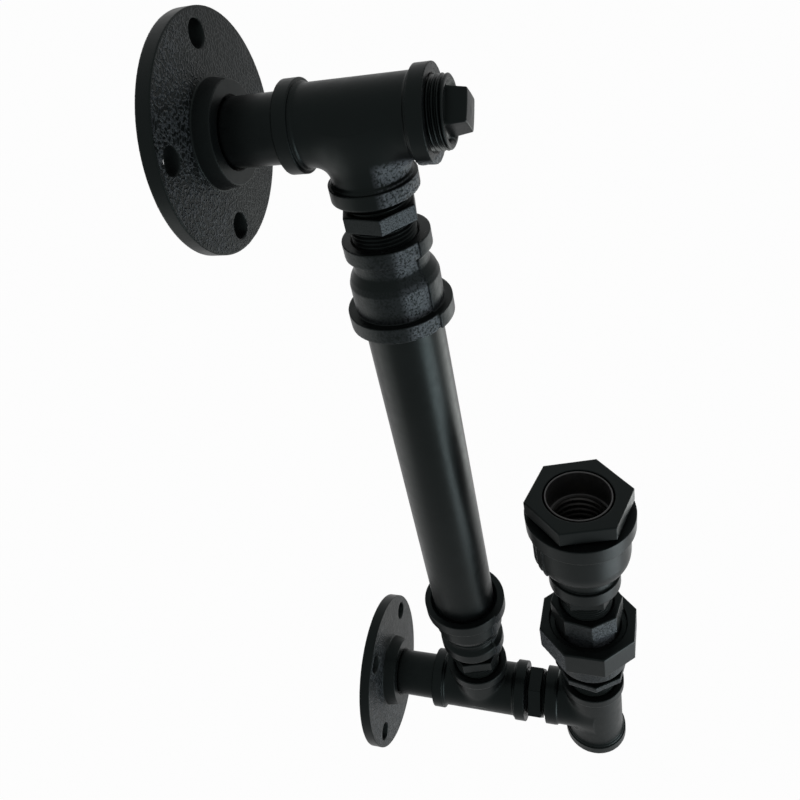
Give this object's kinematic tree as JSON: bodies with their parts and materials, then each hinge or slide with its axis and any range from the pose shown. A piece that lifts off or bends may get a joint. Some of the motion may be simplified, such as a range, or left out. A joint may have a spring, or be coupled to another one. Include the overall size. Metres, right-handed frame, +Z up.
{
  "type": "wall light",
  "caption": "Wall light built from black iron pipe fittings: flanges on the wall, a vertical run between tees, and an upright lamp head on a union.",
  "frame": {"origin": "centre of the upper flange's bolt circle, on the wall face", "axes": "+X out of the wall, +Z up, +Y to the left for someone who faces the wall"},
  "size_m": [0.1574, 0.0936, 0.4621],
  "materials": {
    "cast_iron_black": "semi-matt black paint over as-cast skin",
    "steel_pipe_black": "semi-matt black paint on drawn steel pipe",
    "holder_black": "moulded black heat-proof phenolic",
    "contact_brass": "plain",
    "screw_steel": "zinc plated",
    "gasket_fibre": "pressed fibre"
  },
  "bodies": {
    "frame": {"upper_wall_flange": "cast_iron_black", "lower_wall_flange": "cast_iron_black", "upper_stub_pipe": "steel_pipe_black", "lower_stub_pipe": "steel_pipe_black", "top_tee": "cast_iron_black", "lower_tee": "cast_iron_black", "corner_tee": "cast_iron_black", "tee_plug": "cast_iron_black", "upper_hex_nipple": "cast_iron_black", "lower_hex_nipple": "cast_iron_black", "arm_hex_nipple": "cast_iron_black", "upper_reducing_socket": "cast_iron_black", "lower_reducing_socket": "cast_iron_black", "main_pipe": "steel_pipe_black", "union_bottom_piece": "cast_iron_black", "union_gasket": "gasket_fibre"},
    "lamp_head": {"union_tail_piece": "cast_iron_black", "head_hex_nipple": "cast_iron_black", "head_reducing_socket": "cast_iron_black", "hex_bushing": "cast_iron_black", "lampholder_body": "holder_black", "lampholder_base": "holder_black", "screw_shell": "contact_brass", "centre_contact": "contact_brass", "live_terminal": "contact_brass", "neutral_terminal": "contact_brass", "terminal_screws": "screw_steel", "base_screws": "screw_steel"},
    "union_nut": {"union_nut": "cast_iron_black"}
  },
  "joints": [
    {"name": "head_swivel", "type": "hinge", "parent": "frame", "child": "lamp_head", "pos_m": [0.13135, 0, -0.28], "axis": [0, 0, 1], "range_deg": [-180, 180]},
    {"name": "nut_turn", "type": "hinge", "parent": "frame", "child": "union_nut", "pos_m": [0.13135, 0, -0.294], "axis": [0, 0, 1], "range_deg": [0, 90]}
  ]
}
